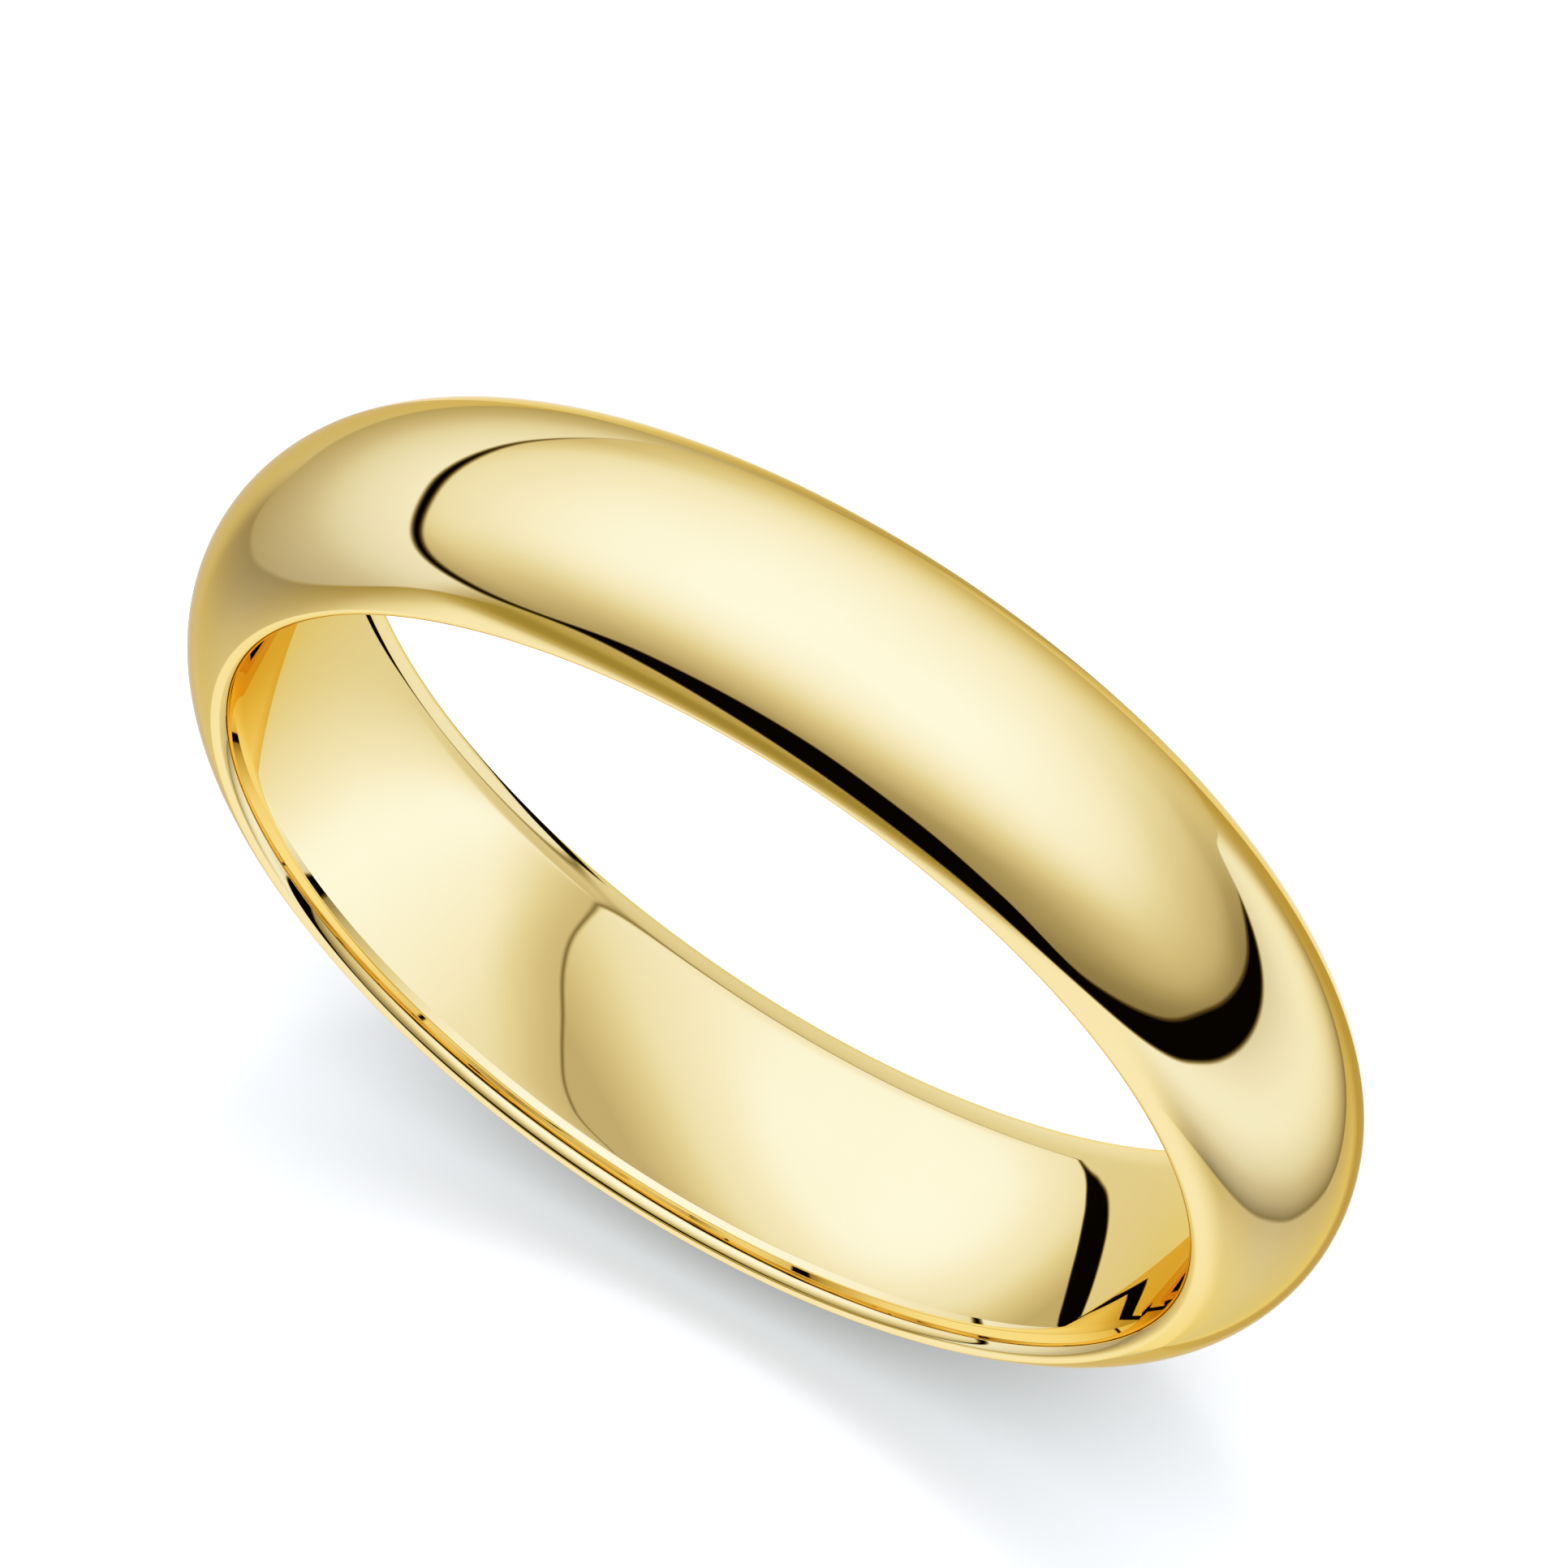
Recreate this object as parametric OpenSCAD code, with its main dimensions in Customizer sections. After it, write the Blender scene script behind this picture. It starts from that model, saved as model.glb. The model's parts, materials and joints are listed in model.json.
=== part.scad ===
// Wedding band: one plain polished ring with a domed outside and an eased bore.
// The finger axis lies along Y, and +Z points up. The origin is the centre of the bore.
// The ring stands on its outer face, as it does on a display.

/* [Finger] */
// Inside diameter at the straight land of the bore
finger_d = 16.2; // [14:0.2:22]

/* [Band] */
// Width along the finger
band_w = 4.0; // [3:0.5:6]
// Thickness from the bore to the crown of the dome
crown_t = 1.5; // [1.3:0.1:2]

/* [Hidden] */
$fn = 180;

// Height above the bore at which each side is widest
edge_h = 0.24;
// Radius of the small round where the dome meets the inside of the edge
edge_r = 0.06;
// Radius of the larger round between the edge and the bore
inner_r = 0.21;
// Distance from each side to the straight land of the bore
ease_w = 0.5;
// How far the bore opens between the land and the inner rounds
ease_depth = 0.03;

bore_r = finger_d / 2;
half_land = band_w / 2 - ease_w;

// The section lies with X along the finger and Y as the height above the bore.
// Five kinds of line follow each other round it without a corner: the land, the easing arc,
// the inner round, the edge round and the dome arc.
edge_x = band_w / 2 - edge_r;

// The dome arc goes through the crown and is tangent to both edge rounds.
edge_drop = crown_t - edge_h;
dome_r = (pow(edge_x, 2) / (edge_drop - edge_r) + edge_r + edge_drop) / 2;
dome_y = crown_t - dome_r;
dome_end = tangent_point([0, dome_y], dome_r, [edge_x, edge_h]);

// The inner round holds the edge round, tangent, and stands ease_depth above the land.
inner_y = inner_r + ease_depth;
inner_turn = asin((inner_y - edge_h) / (inner_r - edge_r));
inner_x = edge_x - (inner_r - edge_r) * cos(inner_turn);
inner_end = tangent_point([inner_x, inner_y], inner_r, [edge_x, edge_h]);

// The easing arc leaves the land without a corner and holds the inner round, tangent.
ease_r = (pow(inner_x - half_land, 2) + pow(inner_y, 2) - pow(inner_r, 2)) / (2 * ease_depth);
ease_end = tangent_point([half_land, ease_r], ease_r, [inner_x, inner_y]);

// Point where a circle touches a smaller one inside it
function tangent_point(centre, r, inner_centre) =
    let (line = inner_centre - centre)
    centre + r * line / norm(line);

// Straight lines through the ends of all the arcs
module core_outline() {
    right = [[half_land, 0], ease_end, inner_end, dome_end];
    left = [for (i = [len(right) - 1:-1:0]) [-right[i][0], right[i][1]]];
    polygon(concat(right, left));
}

// What lies between an arc and its chord, for an arc under half a turn
module bulge(centre, r, from, to) {
    middle = (from + to) / 2;
    outwards = r * (middle - centre) / norm(middle - centre);
    intersection() {
        translate(centre)
            circle(r = r);
        polygon([from, to, to + outwards, from + outwards]);
    }
}

// The three arcs of the +X side, from the bore outwards
module right_arcs() {
    bulge([half_land, ease_r], ease_r, [half_land, 0], ease_end);
    bulge([inner_x, inner_y], inner_r, ease_end, inner_end);
    bulge([edge_x, edge_h], edge_r, inner_end, dome_end);
}

// D-shaped section of the band, drawn about the middle of the land
module section() {
    core_outline();
    bulge([0, dome_y], dome_r, dome_end, [-dome_end[0], dome_end[1]]);
    right_arcs();
    mirror([1, 0])
        right_arcs();
}

// The whole ring: the section swept once around the finger
module band() {
    color("gold")
        rotate([90, 0, 0])
            rotate_extrude()
                translate([bore_r, 0])
                    rotate(-90)
                        section();
}

band();
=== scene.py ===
import json
from math import asin, atan2, cos, pi, radians, sin

import bpy
import numpy as np
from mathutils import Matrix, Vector


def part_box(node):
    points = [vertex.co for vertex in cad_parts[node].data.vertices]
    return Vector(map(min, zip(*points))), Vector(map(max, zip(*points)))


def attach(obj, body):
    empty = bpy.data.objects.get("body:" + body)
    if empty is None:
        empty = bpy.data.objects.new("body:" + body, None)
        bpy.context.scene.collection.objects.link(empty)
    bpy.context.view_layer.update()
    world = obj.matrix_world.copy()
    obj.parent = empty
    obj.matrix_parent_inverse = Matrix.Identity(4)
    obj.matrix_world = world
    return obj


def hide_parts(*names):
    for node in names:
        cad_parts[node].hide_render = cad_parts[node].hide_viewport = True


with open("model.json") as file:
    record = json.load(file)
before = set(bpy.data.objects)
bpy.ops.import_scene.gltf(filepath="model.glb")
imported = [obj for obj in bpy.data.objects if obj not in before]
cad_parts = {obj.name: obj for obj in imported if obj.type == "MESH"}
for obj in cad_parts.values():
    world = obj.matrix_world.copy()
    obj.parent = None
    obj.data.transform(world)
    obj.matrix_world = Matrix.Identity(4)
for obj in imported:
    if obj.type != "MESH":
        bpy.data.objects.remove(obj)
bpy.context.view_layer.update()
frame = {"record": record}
MM = 0.001

# ---------------------------------------------------------------- sizes, from the frame and the record
bore = frame["record"]["mounts"][0]["dims"]
bore_r = bore["r_mm"] * MM
half_land = bore["length_mm"] * MM / 2
low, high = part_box("band")
half_w = high.y
outer_r = high.z
crown_t = outer_r - bore_r

# The rounds and the easing of the bore, as in the CAD section
EDGE_H = 0.24 * MM
EDGE_R = 0.06 * MM
INNER_R = 0.21 * MM
EASE_DEPTH = 0.03 * MM

# What polished yellow gold does to white light
GOLD = (0.96, 0.78, 0.36)


# ---------------------------------------------------------------- node helpers
def add(tree, kind, **settings):
    """A new node with its settings given by name."""
    node = tree.nodes.new(kind)
    for name, value in settings.items():
        setattr(node, name, value)
    return node


def feed(tree, socket, value):
    """Links a socket to another node's output, or sets a plain value on it."""
    if isinstance(value, bpy.types.NodeSocket):
        tree.links.new(value, socket)
    else:
        socket.default_value = value


def calc(tree, operation, *values, clamp=False):
    node = add(tree, "ShaderNodeMath", operation=operation, use_clamp=clamp)
    for socket, value in zip(node.inputs, values):
        feed(tree, socket, value)
    return node.outputs[0]


def rise(tree, value, start, end):
    """0 below start, 1 above end, and a smooth rise between them."""
    node = add(tree, "ShaderNodeMapRange", interpolation_type="SMOOTHSTEP")
    feed(tree, node.inputs["Value"], value)
    feed(tree, node.inputs["From Min"], start)
    feed(tree, node.inputs["From Max"], end)
    return node.outputs["Result"]


def fall(tree, value, start, end):
    """1 below start, 0 above end, and a smooth fall between them."""
    return calc(tree, "SUBTRACT", 1.0, rise(tree, value, start, end))


def blend(tree, factor, first, second):
    """first at factor 0, second at factor 1."""
    node = add(tree, "ShaderNodeMix", data_type="FLOAT")
    for number, value in zip((0, 2, 3), (factor, first, second)):
        feed(tree, node.inputs[number], value)
    return node.outputs[0]


def blend_colour(tree, factor, first, second):
    node = add(tree, "ShaderNodeMix", data_type="RGBA")
    for number, value in zip((0, 6, 7), (factor, first, second)):
        feed(tree, node.inputs[number], value)
    return node.outputs[2]


# Spans for the results of a curve: a brightness, an angle in degrees, and a place across the card in mm
SHARE = (0, 1)
DEGREES = (-90, 90)
ACROSS_CARD = (-12, 4)
TO_DEGREES = 180 / pi


def curve(tree, value, points, span):
    """A smooth curve through a few (value, result) points; results lie within span."""
    first, last = points[0][0], points[-1][0]
    low_end, high_end = span
    scaled = calc(tree, "DIVIDE", calc(tree, "SUBTRACT", value, first), last - first, clamp=True)
    node = add(tree, "ShaderNodeFloatCurve")
    line = node.mapping.curves[0]
    while len(line.points) < len(points):
        line.points.new(0.5, 0.5)
    for point, (x, y) in zip(line.points, sorted(points)):
        point.location = ((x - first) / (last - first), (y - low_end) / (high_end - low_end))
        point.handle_type = "AUTO_CLAMPED"
    node.mapping.update()
    feed(tree, node.inputs["Value"], scaled)
    return calc(tree, "MULTIPLY_ADD", node.outputs[0], high_end - low_end, low_end)


def ramp(tree, value, stops):
    """A colour ramp; the stops are (value, colour) pairs."""
    node = add(tree, "ShaderNodeValToRGB")
    elements = node.color_ramp.elements
    while len(elements) < len(stops):
        elements.new(0.5)
    for element, (place, colour) in zip(elements, stops):
        element.position = place
        element.color = (*colour, 1)
    feed(tree, node.inputs["Fac"], value)
    return node.outputs["Color"]


# ---------------------------------------------------------------- the ring
# How finely the mesh follows each part of the section, and the turn round the finger
LAND_POINTS = 9
EASE_POINTS = 20
INNER_POINTS = 16
EDGE_POINTS = 12
DOME_POINTS = 48
TURNS = 720

# The metal's tone changes in patches of about 3 mm, and its gloss in patches under 1 mm
TONE_SCALE = 350
TONE_DETAIL = 3
DEEPER_TONE = (0.99, 0.98, 0.95)
GLOSS_SCALE = 1500
GLOSS_DETAIL = 4
LEAST_ROUGHNESS = 0.004
ROUGHNESS_SPREAD = 0.02


def arc(centre, r, start, end, count):
    """Points on an arc in the section plane: along the finger, and height above the bore."""
    turns = np.linspace(start, end, count)
    return [(centre[0] + r * cos(a), centre[1] + r * sin(a)) for a in turns]


def half_section():
    """The section from the middle of the bore, round the +Y edge, to the crown."""
    edge_x = half_w - EDGE_R
    drop = crown_t - EDGE_H
    dome_r = (edge_x ** 2 / (drop - EDGE_R) + EDGE_R + drop) / 2
    dome_y = crown_t - dome_r
    dome_end = atan2(EDGE_H - dome_y, edge_x)
    inner_y = INNER_R + EASE_DEPTH
    inner_turn = asin((inner_y - EDGE_H) / (INNER_R - EDGE_R))
    inner_x = edge_x - (INNER_R - EDGE_R) * cos(inner_turn)
    ease_r = ((inner_x - half_land) ** 2 + inner_y ** 2 - INNER_R ** 2) / (2 * EASE_DEPTH)
    ease_turn = atan2(inner_x - half_land, ease_r - inner_y)
    points = [(half_land * t, 0.0) for t in np.linspace(0, 1, LAND_POINTS)[:-1]]
    points += arc((half_land, ease_r), ease_r, -pi / 2, -pi / 2 + ease_turn, EASE_POINTS)[:-1]
    points += arc((inner_x, inner_y), INNER_R, -pi / 2 + ease_turn, -inner_turn, INNER_POINTS)[:-1]
    points += arc((edge_x, EDGE_H), EDGE_R, -inner_turn, dome_end, EDGE_POINTS)[:-1]
    points += arc((0, dome_y), dome_r, dome_end, pi / 2, DOME_POINTS)
    return points


def ring_mesh(name):
    """The whole section swept round the finger axis, which is Y."""
    half = half_section()
    section = half + [(-y, h) for y, h in half[-2:0:-1]]
    count = len(section)
    verts = []
    for i in range(TURNS):
        a = 2 * pi * i / TURNS
        verts += [((bore_r + h) * cos(a), y, (bore_r + h) * sin(a)) for y, h in section]
    faces = []
    for i in range(TURNS):
        here = i * count
        there = (i + 1) % TURNS * count
        for j in range(count):
            k = (j + 1) % count
            faces.append((here + j, here + k, there + k, there + j))
    return mesh_object(name, verts, faces, smooth=True)


def mesh_object(name, verts, faces, smooth=False):
    mesh = bpy.data.meshes.new(name)
    mesh.from_pydata(verts, [], faces)
    if smooth:
        mesh.shade_smooth()
    thing = bpy.data.objects.new(name, mesh)
    bpy.context.scene.collection.objects.link(thing)
    return thing


def gold():
    """Mirror-polished gold with the faint unevenness that hand polishing leaves."""
    mat = bpy.data.materials.new("polished_gold")
    mat.use_nodes = True
    tree = mat.node_tree
    bsdf = tree.nodes["Principled BSDF"]
    place = add(tree, "ShaderNodeTexCoord").outputs["Object"]
    bsdf.inputs["Metallic"].default_value = 1.0
    bsdf.inputs["Specular Tint"].default_value = (*GOLD, 1)

    patches = add(tree, "ShaderNodeTexNoise")
    feed(tree, patches.inputs["Vector"], place)
    patches.inputs["Scale"].default_value = TONE_SCALE
    patches.inputs["Detail"].default_value = TONE_DETAIL
    deep = tuple(c * k for c, k in zip(GOLD, DEEPER_TONE))
    tone = ramp(tree, patches.outputs["Fac"], [(0.35, deep), (0.65, GOLD)])
    feed(tree, bsdf.inputs["Base Color"], tone)

    haze = add(tree, "ShaderNodeTexNoise")
    feed(tree, haze.inputs["Vector"], place)
    haze.inputs["Scale"].default_value = GLOSS_SCALE
    haze.inputs["Detail"].default_value = GLOSS_DETAIL
    roughness = calc(tree, "MULTIPLY_ADD", haze.outputs["Fac"], ROUGHNESS_SPREAD, LEAST_ROUGHNESS)
    feed(tree, bsdf.inputs["Roughness"], roughness)
    return mat


def build_ring():
    ring = ring_mesh("polished_band")
    ring.data.materials.append(gold())
    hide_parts("band")
    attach(ring, "root")


# ---------------------------------------------------------------- the light tent round the ring
# Directions are given as a bearing round the ring, 0 toward the camera side (-Y) and positive
# toward +X, and a height over the horizon, both in degrees. Brightness is 0 for black, 1 for white.

# Lower border of the big overhead dome, and upper border of what stands below it, by bearing.
# Where the two part, the black gap between the tent's parts shows.
DOME_BORDER = [(-180, -38), (-160, -24), (-132, 3.8), (-95, 12.2), (-45, 2.0), (-22, 14.5), (-6, 17.8),
               (10, 12.5), (22, 1.8), (32, -9.2), (50, -7.8), (80, -3.6), (115, -6), (142, -11.5),
               (162, -24), (180, -38)]
LOWER_BORDER = [(-180, -36), (-160, -22), (-132, 3.2), (-95, 9.6), (-45, 0.0), (-25, 6.5), (-10, 4),
                (10, -5), (25, -14), (45, -17.8), (60, -16.2), (90, -13), (115, -11.5), (142, -10.5),
                (162, -22), (180, -36)]
GAP_SOFT = 0.9

# Brightness of the dome by height, on the camera's side, at the two other sides and behind
DOME_FRONT = [(-5, 0.46), (15, 0.54), (25, 0.66), (35, 0.77), (45, 0.85), (60, 0.93), (90, 0.99)]
DOME_LEFT = [(-2, 0.55), (6, 0.74), (12, 0.84), (25, 0.89), (45, 0.95), (90, 0.99)]
DOME_RIGHT = [(-8, 0.40), (-3, 0.50), (0, 0.60), (5, 0.70), (15, 0.79), (30, 0.90), (50, 0.96), (90, 0.99)]
DOME_BACK = [(-40, 0.66), (-20, 0.76), (0, 0.855), (25, 0.92), (45, 0.95), (90, 0.99)]

# Brightness of the left panel by height, and of the right one by height over its lower border
LEFT_PANEL = [(-45, 0.60), (-33, 0.64), (-22, 0.71), (-8, 0.84), (8, 0.92)]
RIGHT_PANEL = [(0, 0.43), (3, 0.60), (8, 0.74), (15, 0.86), (26, 0.93), (35, 0.90), (46, 0.80)]

# Lower borders of the two panels by bearing, how soft they are, and the brightness at a depth below each.
# Below the back part of the left panel the brightness is even.
LEFT_BORDER = [(-180, -60), (-163, -40), (-140, -31), (-115, -30), (-97, -35), (-72, -32), (-55, -25),
               (-44, -8), (-30, 5)]
RIGHT_BORDER = [(30, -36), (55, -50), (75, -55.5), (100, -58), (120, -57.5), (140, -52), (155, -44),
                (175, -20)]
LEFT_PANEL_SOFT = 1.0
RIGHT_PANEL_SOFT = 0.8
BELOW_LEFT = [(0, 0.53), (8, 0.62), (20, 0.76), (60, 0.87)]
BELOW_RIGHT = [(0, 0.72), (10, 0.78), (32, 0.84)]
PALE_BELOW = 0.76

# Brightness in front and behind by height, where no panel stands
FRONT_TABLE = [(-90, 0.92), (-16, 0.90), (-9, 0.62), (-4, 0.50), (1, 0.60), (8, 0.68)]
BACK_TABLE = [(-90, 0.74), (-64, 0.64), (-36, 0.62), (-26, 0.70)]

# Bearings between which one side of the dome turns into the next; the last two hold on either hand
LEFT_TO_RIGHT = (-20, 20)
FRONT_TO_SIDE = (5, 80)
SIDE_TO_BACK = (110, 170)

# The same for the parts below the dome, once round from behind
BACK_TO_LEFT = (-174, -164)
PALE_TO_LEFT = (-118, -98)
LEFT_TO_FRONT = (-50, -35)
FRONT_TO_RIGHT = (26, 44)
RIGHT_TO_BACK = (150, 168)

# On either hand, the stretch where everything below the dome has the panels' cooler colour
COOL_STARTS = (40, 75)
COOL_ENDS = (125, 150)

# Colours in which the gold shows the dome, the cooler side panels and the warmer table, by brightness.
# The light behind them can be brighter than 1, where a ramp is cut off, so the ramps hold it divided by
# the scale, which then comes back as the strength of the light.
DOME_TINT = [(0.0, (0.002, 0.001, 0.0)), (0.28, (0.11, 0.065, 0.012)), (0.59, (0.43, 0.315, 0.105)),
             (0.745, (0.67, 0.52, 0.21)), (0.82, (0.79, 0.655, 0.305)), (0.9, (0.92, 0.81, 0.50)),
             (0.98, (1.0, 0.955, 0.71))]
PANEL_TINT = [(0.0, (0.002, 0.001, 0.0)), (0.44, (0.23, 0.17, 0.06)), (0.59, (0.40, 0.31, 0.155)),
              (0.745, (0.63, 0.51, 0.265)), (0.82, (0.76, 0.65, 0.37)), (0.9, (0.88, 0.78, 0.49)),
              (0.98, (0.99, 0.94, 0.66))]
TABLE_TINT = [(0.0, (0.002, 0.001, 0.0)), (0.43, (0.25, 0.16, 0.012)), (0.59, (0.475, 0.32, 0.057)),
              (0.66, (0.55, 0.385, 0.11)), (0.75, (0.66, 0.50, 0.18)), (0.82, (0.80, 0.655, 0.28)),
              (0.9, (0.95, 0.80, 0.43)), (0.98, (0.99, 0.90, 0.60))]
TINT_SCALE = 2.2


def tint(tree, brightness, stops):
    """The light that the gold turns into the stops' colours, scaled to fit a colour ramp."""
    light = [(t, tuple(c / g / TINT_SCALE for c, g in zip(colour, GOLD))) for t, colour in stops]
    return ramp(tree, brightness, light)


def bearing_and_height(tree):
    direction = add(tree, "ShaderNodeSeparateXYZ")
    feed(tree, direction.inputs[0], add(tree, "ShaderNodeTexCoord").outputs["Generated"])
    x, y, z = direction.outputs
    bearing = calc(tree, "ARCTAN2", x, calc(tree, "MULTIPLY", y, -1.0))
    height = calc(tree, "ARCSINE", z)
    return calc(tree, "MULTIPLY", bearing, TO_DEGREES), calc(tree, "MULTIPLY", height, TO_DEGREES)


def dome_brightness(tree, bearing, height):
    away = calc(tree, "ABSOLUTE", bearing)
    front = curve(tree, height, DOME_FRONT, SHARE)
    left = curve(tree, height, DOME_LEFT, SHARE)
    right = curve(tree, height, DOME_RIGHT, SHARE)
    back = curve(tree, height, DOME_BACK, SHARE)
    side = blend(tree, rise(tree, bearing, *LEFT_TO_RIGHT), left, right)
    front_and_side = blend(tree, rise(tree, away, *FRONT_TO_SIDE), front, side)
    return blend(tree, rise(tree, away, *SIDE_TO_BACK), front_and_side, back)


def left_side(tree, bearing, height):
    """Brightness at the left, and how far the place lies within the panel."""
    depth = calc(tree, "SUBTRACT", curve(tree, bearing, LEFT_BORDER, DEGREES), height)
    below = curve(tree, depth, BELOW_LEFT, SHARE)
    below = blend(tree, rise(tree, bearing, *PALE_TO_LEFT), PALE_BELOW, below)
    inside = rise(tree, calc(tree, "MULTIPLY", depth, -1.0), -LEFT_PANEL_SOFT, LEFT_PANEL_SOFT)
    return blend(tree, inside, below, curve(tree, height, LEFT_PANEL, SHARE)), inside


def right_side(tree, bearing, height):
    """Brightness at the right, and how far the place lies within the panel."""
    over = calc(tree, "SUBTRACT", height, curve(tree, bearing, RIGHT_BORDER, DEGREES))
    below = curve(tree, calc(tree, "MULTIPLY", over, -1.0), BELOW_RIGHT, SHARE)
    inside = rise(tree, over, -RIGHT_PANEL_SOFT, RIGHT_PANEL_SOFT)
    return blend(tree, inside, below, curve(tree, over, RIGHT_PANEL, SHARE)), inside


def lower_part(tree, bearing, height):
    """Brightness below the dome, and the share of it that is side panel and not table."""
    left, in_left = left_side(tree, bearing, height)
    right, in_right = right_side(tree, bearing, height)
    back = (curve(tree, height, BACK_TABLE, SHARE), 0.0)
    front = (curve(tree, height, FRONT_TABLE, SHARE), 0.0)
    parts = []
    for behind, at_left, ahead, at_right in zip(back, (left, in_left), front, (right, in_right)):
        value = blend(tree, rise(tree, bearing, *BACK_TO_LEFT), behind, at_left)
        value = blend(tree, rise(tree, bearing, *LEFT_TO_FRONT), value, ahead)
        value = blend(tree, rise(tree, bearing, *FRONT_TO_RIGHT), value, at_right)
        parts.append(blend(tree, rise(tree, bearing, *RIGHT_TO_BACK), value, behind))
    return parts


def studio_light(tree):
    """The tent as the gold sees it: overhead dome, black gap, side panels and table."""
    bearing, height = bearing_and_height(tree)
    dome_end = curve(tree, bearing, DOME_BORDER, DEGREES)
    lower_end = curve(tree, bearing, LOWER_BORDER, DEGREES)
    in_dome = rise(tree, calc(tree, "SUBTRACT", height, dome_end), -GAP_SOFT, GAP_SOFT)
    in_lower = rise(tree, calc(tree, "SUBTRACT", lower_end, height), -GAP_SOFT, GAP_SOFT)
    dome = calc(tree, "MULTIPLY", in_dome, dome_brightness(tree, bearing, height))
    lower, is_panel = lower_part(tree, bearing, height)
    lower = calc(tree, "MULTIPLY", in_lower, lower)
    brightness = calc(tree, "MAXIMUM", dome, lower)
    away = calc(tree, "ABSOLUTE", bearing)
    beside = calc(tree, "MULTIPLY", rise(tree, away, *COOL_STARTS), fall(tree, away, *COOL_ENDS))
    is_cool = calc(tree, "MAXIMUM", is_panel, beside)
    table = tint(tree, brightness, TABLE_TINT)
    panel = tint(tree, brightness, PANEL_TINT)
    below = blend_colour(tree, is_cool, table, panel)
    return blend_colour(tree, in_lower, tint(tree, brightness, DOME_TINT), below)


# Light on the floor: what comes directly grows from the horizon up, and what comes by way of the
# metal is dim and blue, so that the gold doesn't colour the shadow
FLOOR_FILL = (0.97, 0.985, 1.0)
FLOOR_FILL_HEIGHTS = (0, 80)
FLOOR_FILL_STRENGTH = (0.35, 2.1)
FLOOR_BY_METAL = (0.30, 0.40, 0.70)


def build_world():
    """White for the background, cool light for the floor, and the tent for what the metal mirrors."""
    world = bpy.data.worlds.new("studio")
    bpy.context.scene.world = world
    world.use_nodes = True
    tree = world.node_tree
    rays = add(tree, "ShaderNodeLightPath")
    height = bearing_and_height(tree)[1]
    overhead = rise(tree, height, *FLOOR_FILL_HEIGHTS)
    floor_strength = blend(tree, overhead, *FLOOR_FILL_STRENGTH)
    on_floor = calc(tree, "GREATER_THAN", rays.outputs["Diffuse Depth"], 0.5)
    by_metal = calc(tree, "MULTIPLY", on_floor, calc(tree, "GREATER_THAN", rays.outputs["Glossy Depth"], 0.5))
    choices = [
        (None, studio_light(tree), TINT_SCALE),
        (on_floor, (*FLOOR_FILL, 1), floor_strength),
        (by_metal, (*FLOOR_BY_METAL, 1), 1.0),
        (rays.outputs["Is Camera Ray"], (1, 1, 1, 1), 1.0),
    ]
    surface = None
    for factor, colour, strength in choices:
        light = add(tree, "ShaderNodeBackground")
        feed(tree, light.inputs["Color"], colour)
        feed(tree, light.inputs["Strength"], strength)
        if surface is None:
            surface = light.outputs[0]
            continue
        either = add(tree, "ShaderNodeMixShader")
        feed(tree, either.inputs[0], factor)
        feed(tree, either.inputs[1], surface)
        feed(tree, either.inputs[2], light.outputs[0])
        surface = either.outputs[0]
    feed(tree, tree.nodes["World Output"].inputs["Surface"], surface)


TABLE_HALF = 0.4
TABLE_WHITE = 0.95
TABLE_ROUGHNESS = 0.9


def build_floor():
    """A white table. The ring doesn't mirror it, because the tent holds a painted table of its own."""
    signs = [(-1, -1), (1, -1), (1, 1), (-1, 1)]
    corners = [(i * TABLE_HALF, j * TABLE_HALF, -outer_r) for i, j in signs]
    floor = mesh_object("floor", corners, [(0, 1, 2, 3)])
    mat = bpy.data.materials.new("white_table")
    mat.use_nodes = True
    bsdf = mat.node_tree.nodes["Principled BSDF"]
    bsdf.inputs["Base Color"].default_value = (TABLE_WHITE, TABLE_WHITE, TABLE_WHITE, 1)
    bsdf.inputs["Roughness"].default_value = TABLE_ROUGHNESS
    bsdf.inputs["Specular IOR Level"].default_value = 0.0
    floor.data.materials.append(mat)
    floor.visible_glossy = False


# Lamps that the metal doesn't mirror: where each hangs in metres, how wide it is and its power in watts.
# The wide one gives the ring a soft shadow, and the small one a faint, sharper one in front of it.
LAMPS = {
    "wide_lamp": ((-0.02, 0.08, 0.30), 0.12, 0.08),
    "small_lamp": ((-0.052, 0.123, 0.25), 0.04, 0.07),
}


def build_lamps():
    for name, (place, size, power) in LAMPS.items():
        data = bpy.data.lights.new(name, "AREA")
        data.shape = "DISK"
        data.size = size
        data.energy = power
        lamp = bpy.data.objects.new(name, data)
        bpy.context.scene.collection.objects.link(lamp)
        lamp.location = place
        lamp.rotation_euler = lamp.location.to_track_quat("Z", "Y").to_euler()
        lamp.visible_glossy = False
        lamp.visible_camera = False


# ---------------------------------------------------------------- the reflector card behind the ring
# An upright oval card just behind the ring. Seen from the camera, the bore mirrors it and the outside
# doesn't; from behind, the outside mirrors it too. Its places are in millimetres, across the ring and up.
CARD_Y = 4.5
CARD_CENTRE = (-0.8, -3.2)
CARD_RADII = (9.6, 10.6)
CARD_POINTS = 96

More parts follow.
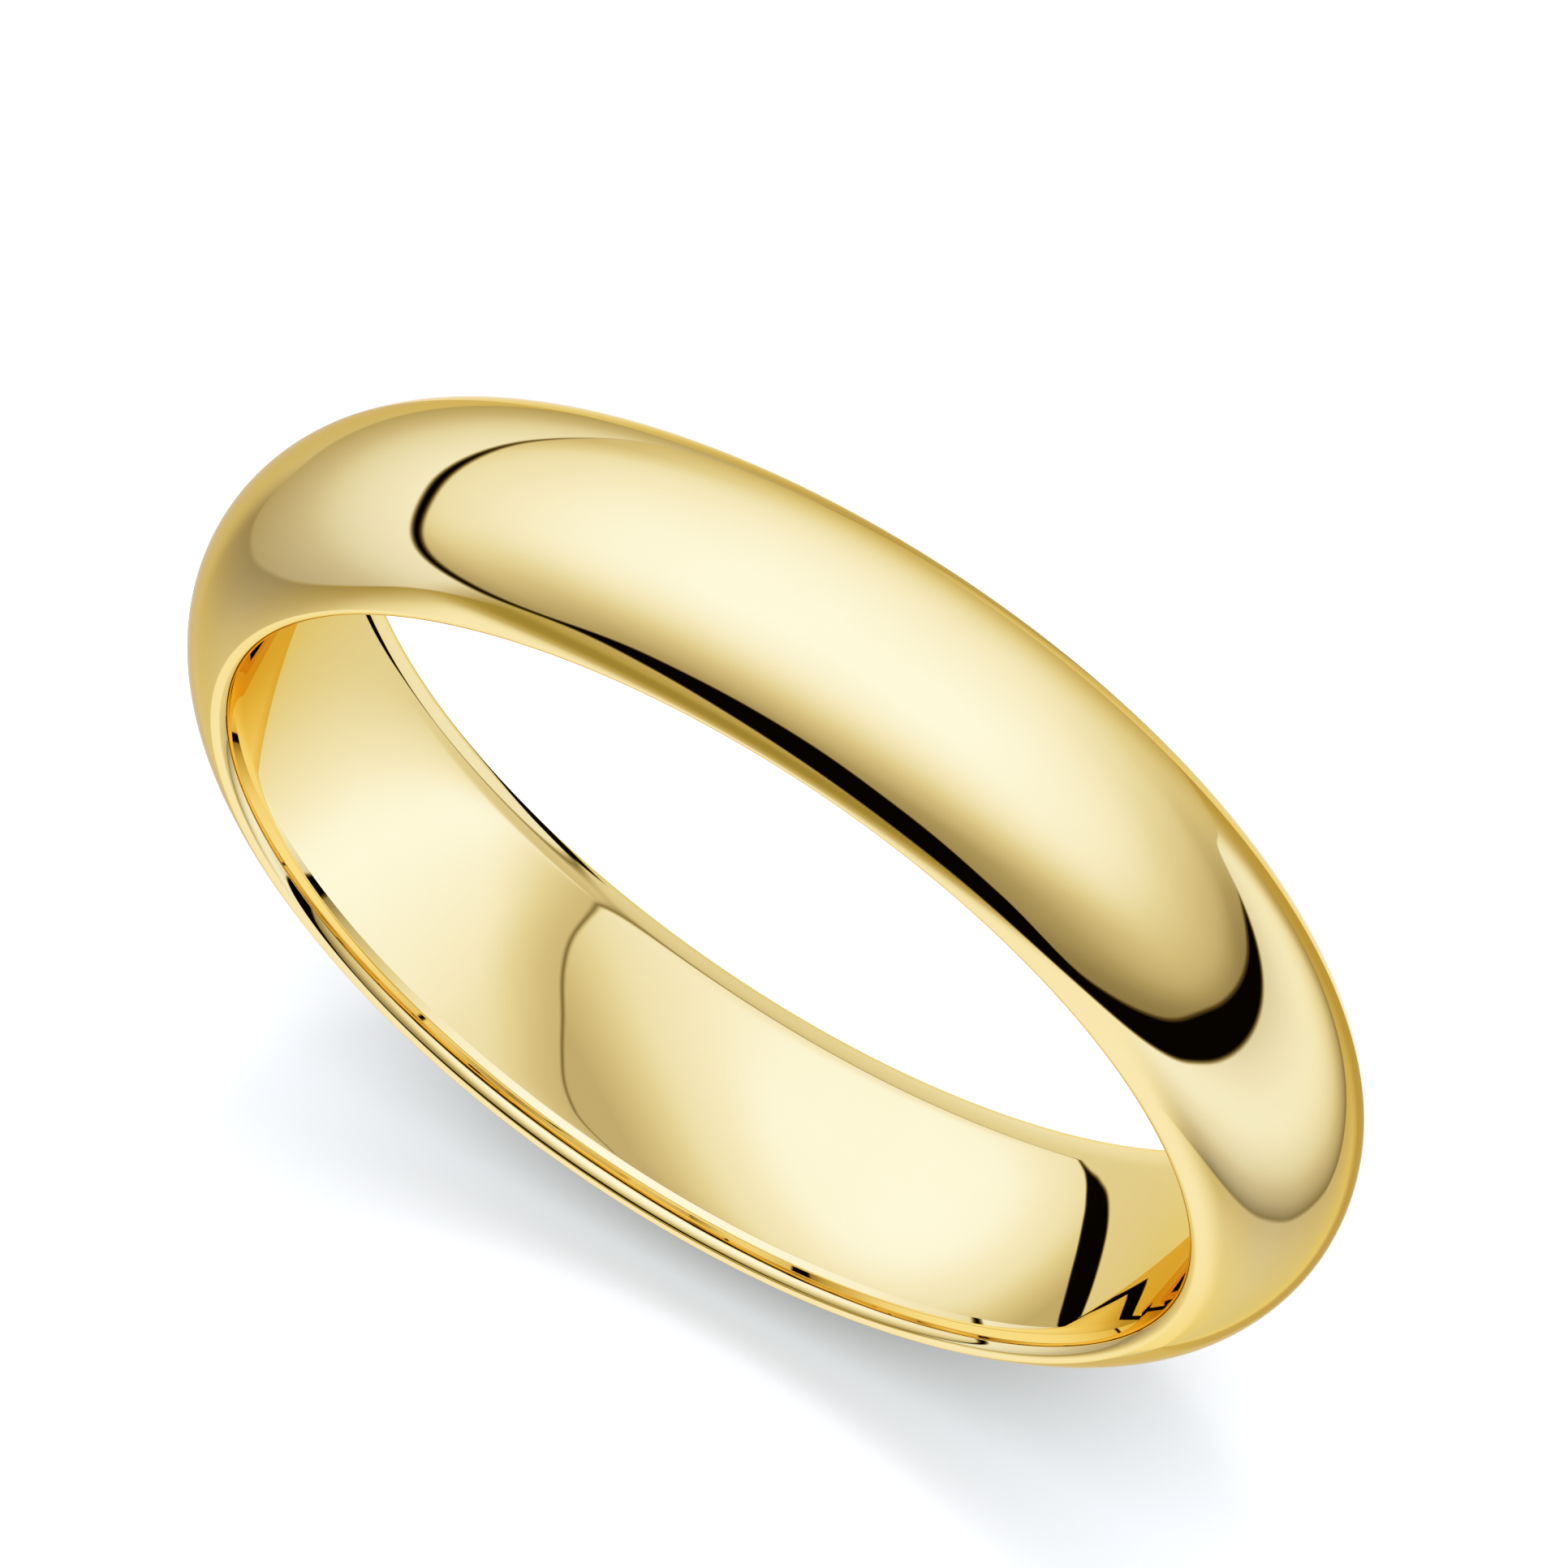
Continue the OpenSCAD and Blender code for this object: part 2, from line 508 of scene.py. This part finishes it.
# This line, given as (height, across), parts the left half of the card from the right half. A black
# strip lies along its lower end, and its half width is given by height.
CARD_SPLIT = [(-14, -11.5), (-10, -7.7), (-8, -5.7), (-6, -3.1), (-5, -1.9), (-3.5, -0.6), (-2, 0.8),
              (0, 2.5), (2, 3.1), (3.5, 3.25), (5, 2.8), (6.5, 0.8), (8, -2.5)]
SPLIT_SOFT = 0.15
STRIP_HALF_WIDTH = [(-11, 0.0), (-10.3, 1.1), (-8, 1.1), (-7, 0.95), (-6.2, 0.5), (-5.7, 0.1), (-5.4, 0.0)]
STRIP_SOFT = 0.12

# The left half glows from a point, by distance. The right half changes by the turn round another point,
# in degrees, and a shade lies beside the upper part of the line.
GLOW_CENTRE = (-4.5, -0.5)
GLOW = [(0, 0.978), (3, 0.965), (4.5, 0.90), (5.5, 0.865), (6.5, 0.79), (8, 0.66)]
TURN_CENTRE = (0.0, -3.0)
RIGHT_TURN = [(-180, 0.80), (-110, 0.81), (-70, 0.88), (-25, 0.975), (0, 0.95), (20, 0.92), (45, 0.86),
              (90, 0.80)]
SHADE_ACROSS = (-1.0, 3.0)
SHADE_HEIGHTS = (-6, -2)
SHADE_DEPTH = 0.2


def left_half(tree, across, height):
    glow_x = calc(tree, "SUBTRACT", across, GLOW_CENTRE[0])
    glow_z = calc(tree, "SUBTRACT", height, GLOW_CENTRE[1])
    squares = calc(tree, "MULTIPLY_ADD", glow_x, glow_x, calc(tree, "MULTIPLY", glow_z, glow_z))
    return curve(tree, calc(tree, "SQRT", squares), GLOW, SHARE)


def right_half(tree, across, height, past_split):
    turn_x = calc(tree, "SUBTRACT", across, TURN_CENTRE[0])
    turn_z = calc(tree, "SUBTRACT", height, TURN_CENTRE[1])
    turn = calc(tree, "MULTIPLY", calc(tree, "ARCTAN2", turn_z, turn_x), TO_DEGREES)
    beside_split = fall(tree, past_split, *SHADE_ACROSS)
    shade = calc(tree, "MULTIPLY", beside_split, rise(tree, height, *SHADE_HEIGHTS))
    kept = calc(tree, "MULTIPLY_ADD", shade, -SHADE_DEPTH, 1.0)
    return calc(tree, "MULTIPLY", curve(tree, turn, RIGHT_TURN, SHARE), kept)


def card_light():
    """Brightness painted on the card: two lit halves, and the black strip between them."""
    mat = bpy.data.materials.new("card_light")
    mat.use_nodes = True
    tree = mat.node_tree
    tree.nodes.remove(tree.nodes["Principled BSDF"])
    place = add(tree, "ShaderNodeSeparateXYZ")
    feed(tree, place.inputs[0], add(tree, "ShaderNodeTexCoord").outputs["Object"])
    across = calc(tree, "DIVIDE", place.outputs[0], MM)
    height = calc(tree, "DIVIDE", place.outputs[2], MM)
    past_split = calc(tree, "SUBTRACT", across, curve(tree, height, CARD_SPLIT, ACROSS_CARD))

    left = left_half(tree, across, height)
    right = right_half(tree, across, height, past_split)
    lit = blend(tree, rise(tree, past_split, -SPLIT_SOFT, SPLIT_SOFT), left, right)
    half_strip = curve(tree, height, STRIP_HALF_WIDTH, SHARE)
    beside = calc(tree, "SUBTRACT", calc(tree, "ABSOLUTE", past_split), half_strip)
    lit = calc(tree, "MULTIPLY", lit, rise(tree, beside, -STRIP_SOFT, STRIP_SOFT))

    light = add(tree, "ShaderNodeEmission")
    feed(tree, light.inputs["Color"], tint(tree, lit, DOME_TINT))
    light.inputs["Strength"].default_value = TINT_SCALE
    feed(tree, tree.nodes["Material Output"].inputs["Surface"], light.outputs[0])
    return mat


def build_card():
    rim = []
    for i in range(CARD_POINTS):
        a = 2 * pi * i / CARD_POINTS
        across = CARD_CENTRE[0] + CARD_RADII[0] * cos(a)
        height = CARD_CENTRE[1] + CARD_RADII[1] * sin(a)
        rim.append((across * MM, 0, height * MM))
    card = mesh_object("reflector_card", rim, [tuple(range(CARD_POINTS))])
    card.location = (0, CARD_Y * MM, 0)
    card.data.materials.append(card_light())
    card.visible_camera = False
    card.visible_diffuse = False
    card.visible_shadow = False


# ---------------------------------------------------------------- camera
# Far away with a long lens, because the photo shows hardly any perspective. It looks parallel to the
# line from the origin, from a little to the right of it and above it.
CAMERA_BEARING = radians(31.32)
CAMERA_HEIGHT = radians(62.29)
CAMERA_DISTANCE = 0.460
CAMERA_RIGHT = 0.15 * MM
CAMERA_UP = 1.467 * MM
FOCAL_LENGTH = 729.7
SENSOR_WIDTH = 36
NEAREST = 0.01
FARTHEST = 10


def build_camera():
    data = bpy.data.cameras.new("camera")
    camera = bpy.data.objects.new("camera", data)
    bpy.context.scene.collection.objects.link(camera)
    level = cos(CAMERA_HEIGHT)
    back = Vector((sin(CAMERA_BEARING) * level, -cos(CAMERA_BEARING) * level, sin(CAMERA_HEIGHT)))
    right = Vector((0, 0, 1)).cross(back).normalized()
    camera.location = back * CAMERA_DISTANCE + right * CAMERA_RIGHT + back.cross(right) * CAMERA_UP
    camera.rotation_euler = back.to_track_quat("Z", "Y").to_euler()
    data.sensor_width = SENSOR_WIDTH
    data.lens = FOCAL_LENGTH
    data.clip_start = NEAREST
    data.clip_end = FARTHEST
    bpy.context.scene.camera = camera
    bpy.context.scene.view_settings.view_transform = "Standard"


build_ring()
build_world()
build_floor()
build_lamps()
build_card()
build_camera()
